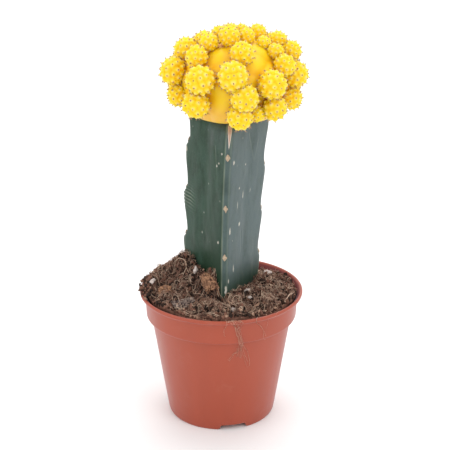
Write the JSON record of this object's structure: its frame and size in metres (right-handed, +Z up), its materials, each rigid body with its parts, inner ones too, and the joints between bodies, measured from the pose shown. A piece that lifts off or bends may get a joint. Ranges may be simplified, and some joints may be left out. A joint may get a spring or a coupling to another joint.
{
  "type": "potted moon cactus",
  "caption": "Yellow moon cactus crowded with globular offsets, grafted on a three-ribbed green stock in a round plastic pot of potting mix.",
  "frame": {"origin": "centre of the pot's foot, on the surface that the pot stands on", "axes": "+Z up along the pot's axis; the plant's front rib faces -Y, and +X is to the right as seen from the front"},
  "size_m": [0.085, 0.085, 0.2071],
  "materials": {
    "terracotta_plastic": "satin moulded polypropylene, terracotta red",
    "potting_mix": "loose fibrous peat and bark crumbs",
    "stock_skin": "waxy grey-green cactus skin with corky scars",
    "scion_skin": "smooth translucent apricot-yellow cactus skin",
    "offset_skin": "translucent lemon-yellow tubercles with brown areoles",
    "bark": "dry composted bark",
    "perlite": "porous off-white grain"
  },
  "bodies": {
    "root": {"pot": "terracotta_plastic", "potting_mix": "potting_mix", "rootstock": "stock_skin", "scion": "scion_skin", "offset_01": "offset_skin", "offset_02": "offset_skin", "offset_03": "offset_skin", "offset_04": "offset_skin", "offset_05": "offset_skin", "offset_06": "offset_skin", "offset_07": "offset_skin", "offset_08": "offset_skin", "offset_09": "offset_skin", "offset_10": "offset_skin", "offset_11": "offset_skin", "offset_12": "offset_skin", "offset_13": "offset_skin", "offset_14": "offset_skin", "offset_15": "offset_skin", "offset_16": "offset_skin", "offset_17": "offset_skin", "offset_18": "offset_skin", "offset_19": "offset_skin", "offset_20": "offset_skin", "offset_21": "offset_skin", "offset_22": "offset_skin", "offset_23": "offset_skin", "offset_24": "offset_skin", "offset_25": "offset_skin", "offset_26": "offset_skin", "offset_27": "offset_skin", "offset_28": "offset_skin", "offset_29": "offset_skin", "offset_30": "offset_skin", "offset_31": "offset_skin", "offset_32": "offset_skin", "offset_33": "offset_skin", "offset_34": "offset_skin", "offset_35": "offset_skin", "offset_36": "offset_skin", "offset_37": "offset_skin", "offset_38": "offset_skin", "offset_39": "offset_skin", "offset_40": "offset_skin", "offset_41": "offset_skin", "offset_42": "offset_skin", "bark_chip_stem": "bark", "bark_chip_left": "bark", "wood_chip_front": "bark", "bark_nugget_front": "bark", "bark_nugget_right": "bark", "perlite_grain_1": "perlite", "perlite_grain_2": "perlite", "perlite_grain_3": "perlite", "perlite_grain_4": "perlite", "perlite_grain_5": "perlite", "perlite_grain_6": "perlite"}
  },
  "joints": []
}
